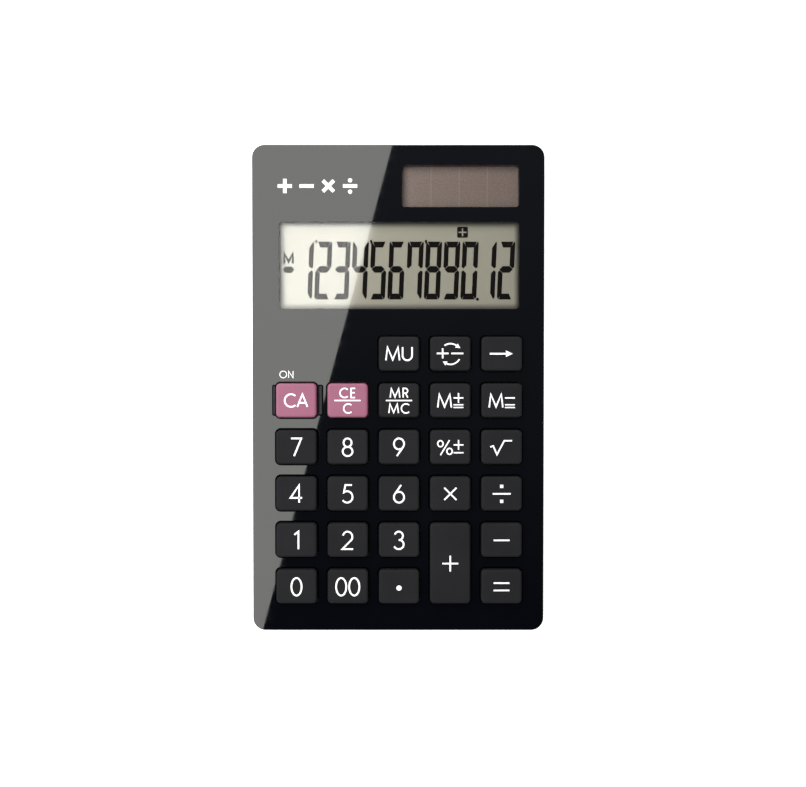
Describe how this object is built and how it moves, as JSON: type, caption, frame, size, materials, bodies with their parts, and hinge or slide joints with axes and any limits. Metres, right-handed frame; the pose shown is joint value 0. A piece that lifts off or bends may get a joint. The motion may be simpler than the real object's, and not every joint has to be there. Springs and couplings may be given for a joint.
{
  "type": "pocket calculator",
  "caption": "Flat pocket calculator: glossy face, display window, solar strip, separate spring-back keys, and a two-part case with a screwed battery cover.",
  "frame": {"origin": "centre of the flat back, on the surface that the calculator rests on", "axes": "+X to the reader's right, +Y towards the display end, +Z out of the face"},
  "size_m": [0.07, 0.1166, 0.0102],
  "materials": {
    "face_gloss": "high gloss",
    "clear_lens": "polished clear plastic",
    "case_front": "fine spark-eroded grain",
    "case_rear": "fine spark-eroded grain",
    "key_grey": "satin",
    "key_pink": "satin",
    "legend_white": "printed ink",
    "display_ink": "liquid crystal, dark",
    "screw_steel": "black zinc",
    "board_green": "solder mask",
    "chip_resin": "cured resin",
    "ceramic_chip": "fired ceramic",
    "silicone": "matt",
    "display_glass": "polished",
    "polariser_film": "glossy film",
    "reflector_film": "silvered film",
    "foam": "open cell",
    "solar_silicon": "glass over silicon",
    "wire_red": "insulated",
    "wire_black": "insulated",
    "cell_steel": "nickel plated",
    "contact_nickel": "nickel plated"
  },
  "bodies": {
    "case": {"face_panel": "face_gloss", "display_lens": "clear_lens", "solar_lens": "clear_lens", "front_case": "case_front", "rear_case": "case_rear", "case_screws": "screw_steel", "circuit_board": "board_green", "controller_chip": "chip_resin", "capacitors": "ceramic_chip", "resistors": "chip_resin", "diode": "chip_resin", "keypad_mat": "silicone", "display_upper_glass": "display_glass", "display_lower_glass": "display_glass", "display_polariser": "polariser_film", "display_reflector": "reflector_film", "display_foam_pad": "foam", "display_gasket": "foam", "display_connector_strip": "silicone", "solar_cell": "solar_silicon", "solar_wire_positive": "wire_red", "solar_wire_negative": "wire_black", "button_cell": "cell_steel", "battery_contact_positive": "contact_nickel", "battery_contact_negative": "contact_nickel", "battery_cover": "case_rear", "battery_cover_screw": "screw_steel"},
    "key_memory_total": {"key_memory_total": "key_grey"},
    "key_sign_change": {"key_sign_change": "key_grey"},
    "key_backspace": {"key_backspace": "key_grey"},
    "key_clear_all": {"key_clear_all": "key_pink"},
    "key_clear_entry": {"key_clear_entry": "key_pink"},
    "key_memory_recall": {"key_memory_recall": "key_grey"},
    "key_memory_plus": {"key_memory_plus": "key_grey"},
    "key_memory_minus": {"key_memory_minus": "key_grey"},
    "key_7": {"key_7": "key_grey"},
    "key_8": {"key_8": "key_grey"},
    "key_9": {"key_9": "key_grey"},
    "key_percent": {"key_percent": "key_grey"},
    "key_square_root": {"key_square_root": "key_grey"},
    "key_4": {"key_4": "key_grey"},
    "key_5": {"key_5": "key_grey"},
    "key_6": {"key_6": "key_grey"},
    "key_multiply": {"key_multiply": "key_grey"},
    "key_divide": {"key_divide": "key_grey"},
    "key_1": {"key_1": "key_grey"},
    "key_2": {"key_2": "key_grey"},
    "key_3": {"key_3": "key_grey"},
    "key_plus": {"key_plus": "key_grey"},
    "key_minus": {"key_minus": "key_grey"},
    "key_0": {"key_0": "key_grey"},
    "key_double_zero": {"key_double_zero": "key_grey"},
    "key_decimal_point": {"key_decimal_point": "key_grey"},
    "key_equals": {"key_equals": "key_grey"}
  },
  "joints": [
    {"name": "press_memory_total", "type": "slide", "parent": "case", "child": "key_memory_total", "axis": [0, 0, -1], "range_m": [0, 0.001], "stiffness_N_per_m": 300, "deforming": ["keypad_mat"]},
    {"name": "press_sign_change", "type": "slide", "parent": "case", "child": "key_sign_change", "axis": [0, 0, -1], "range_m": [0, 0.001], "stiffness_N_per_m": 300, "deforming": ["keypad_mat"]},
    {"name": "press_backspace", "type": "slide", "parent": "case", "child": "key_backspace", "axis": [0, 0, -1], "range_m": [0, 0.001], "stiffness_N_per_m": 300, "deforming": ["keypad_mat"]},
    {"name": "press_clear_all", "type": "slide", "parent": "case", "child": "key_clear_all", "axis": [0, 0, -1], "range_m": [0, 0.001], "stiffness_N_per_m": 300, "deforming": ["keypad_mat"]},
    {"name": "press_clear_entry", "type": "slide", "parent": "case", "child": "key_clear_entry", "axis": [0, 0, -1], "range_m": [0, 0.001], "stiffness_N_per_m": 300, "deforming": ["keypad_mat"]},
    {"name": "press_memory_recall", "type": "slide", "parent": "case", "child": "key_memory_recall", "axis": [0, 0, -1], "range_m": [0, 0.001], "stiffness_N_per_m": 300, "deforming": ["keypad_mat"]},
    {"name": "press_memory_plus", "type": "slide", "parent": "case", "child": "key_memory_plus", "axis": [0, 0, -1], "range_m": [0, 0.001], "stiffness_N_per_m": 300, "deforming": ["keypad_mat"]},
    {"name": "press_memory_minus", "type": "slide", "parent": "case", "child": "key_memory_minus", "axis": [0, 0, -1], "range_m": [0, 0.001], "stiffness_N_per_m": 300, "deforming": ["keypad_mat"]},
    {"name": "press_7", "type": "slide", "parent": "case", "child": "key_7", "axis": [0, 0, -1], "range_m": [0, 0.001], "stiffness_N_per_m": 300, "deforming": ["keypad_mat"]},
    {"name": "press_8", "type": "slide", "parent": "case", "child": "key_8", "axis": [0, 0, -1], "range_m": [0, 0.001], "stiffness_N_per_m": 300, "deforming": ["keypad_mat"]},
    {"name": "press_9", "type": "slide", "parent": "case", "child": "key_9", "axis": [0, 0, -1], "range_m": [0, 0.001], "stiffness_N_per_m": 300, "deforming": ["keypad_mat"]},
    {"name": "press_percent", "type": "slide", "parent": "case", "child": "key_percent", "axis": [0, 0, -1], "range_m": [0, 0.001], "stiffness_N_per_m": 300, "deforming": ["keypad_mat"]},
    {"name": "press_square_root", "type": "slide", "parent": "case", "child": "key_square_root", "axis": [0, 0, -1], "range_m": [0, 0.001], "stiffness_N_per_m": 300, "deforming": ["keypad_mat"]},
    {"name": "press_4", "type": "slide", "parent": "case", "child": "key_4", "axis": [0, 0, -1], "range_m": [0, 0.001], "stiffness_N_per_m": 300, "deforming": ["keypad_mat"]},
    {"name": "press_5", "type": "slide", "parent": "case", "child": "key_5", "axis": [0, 0, -1], "range_m": [0, 0.001], "stiffness_N_per_m": 300, "deforming": ["keypad_mat"]},
    {"name": "press_6", "type": "slide", "parent": "case", "child": "key_6", "axis": [0, 0, -1], "range_m": [0, 0.001], "stiffness_N_per_m": 300, "deforming": ["keypad_mat"]},
    {"name": "press_multiply", "type": "slide", "parent": "case", "child": "key_multiply", "axis": [0, 0, -1], "range_m": [0, 0.001], "stiffness_N_per_m": 300, "deforming": ["keypad_mat"]},
    {"name": "press_divide", "type": "slide", "parent": "case", "child": "key_divide", "axis": [0, 0, -1], "range_m": [0, 0.001], "stiffness_N_per_m": 300, "deforming": ["keypad_mat"]},
    {"name": "press_1", "type": "slide", "parent": "case", "child": "key_1", "axis": [0, 0, -1], "range_m": [0, 0.001], "stiffness_N_per_m": 300, "deforming": ["keypad_mat"]},
    {"name": "press_2", "type": "slide", "parent": "case", "child": "key_2", "axis": [0, 0, -1], "range_m": [0, 0.001], "stiffness_N_per_m": 300, "deforming": ["keypad_mat"]},
    {"name": "press_3", "type": "slide", "parent": "case", "child": "key_3", "axis": [0, 0, -1], "range_m": [0, 0.001], "stiffness_N_per_m": 300, "deforming": ["keypad_mat"]},
    {"name": "press_plus", "type": "slide", "parent": "case", "child": "key_plus", "axis": [0, 0, -1], "range_m": [0, 0.001], "stiffness_N_per_m": 300, "deforming": ["keypad_mat"]},
    {"name": "press_minus", "type": "slide", "parent": "case", "child": "key_minus", "axis": [0, 0, -1], "range_m": [0, 0.001], "stiffness_N_per_m": 300, "deforming": ["keypad_mat"]},
    {"name": "press_0", "type": "slide", "parent": "case", "child": "key_0", "axis": [0, 0, -1], "range_m": [0, 0.001], "stiffness_N_per_m": 300, "deforming": ["keypad_mat"]},
    {"name": "press_double_zero", "type": "slide", "parent": "case", "child": "key_double_zero", "axis": [0, 0, -1], "range_m": [0, 0.001], "stiffness_N_per_m": 300, "deforming": ["keypad_mat"]},
    {"name": "press_decimal_point", "type": "slide", "parent": "case", "child": "key_decimal_point", "axis": [0, 0, -1], "range_m": [0, 0.001], "stiffness_N_per_m": 300, "deforming": ["keypad_mat"]},
    {"name": "press_equals", "type": "slide", "parent": "case", "child": "key_equals", "axis": [0, 0, -1], "range_m": [0, 0.001], "stiffness_N_per_m": 300, "deforming": ["keypad_mat"]}
  ]
}
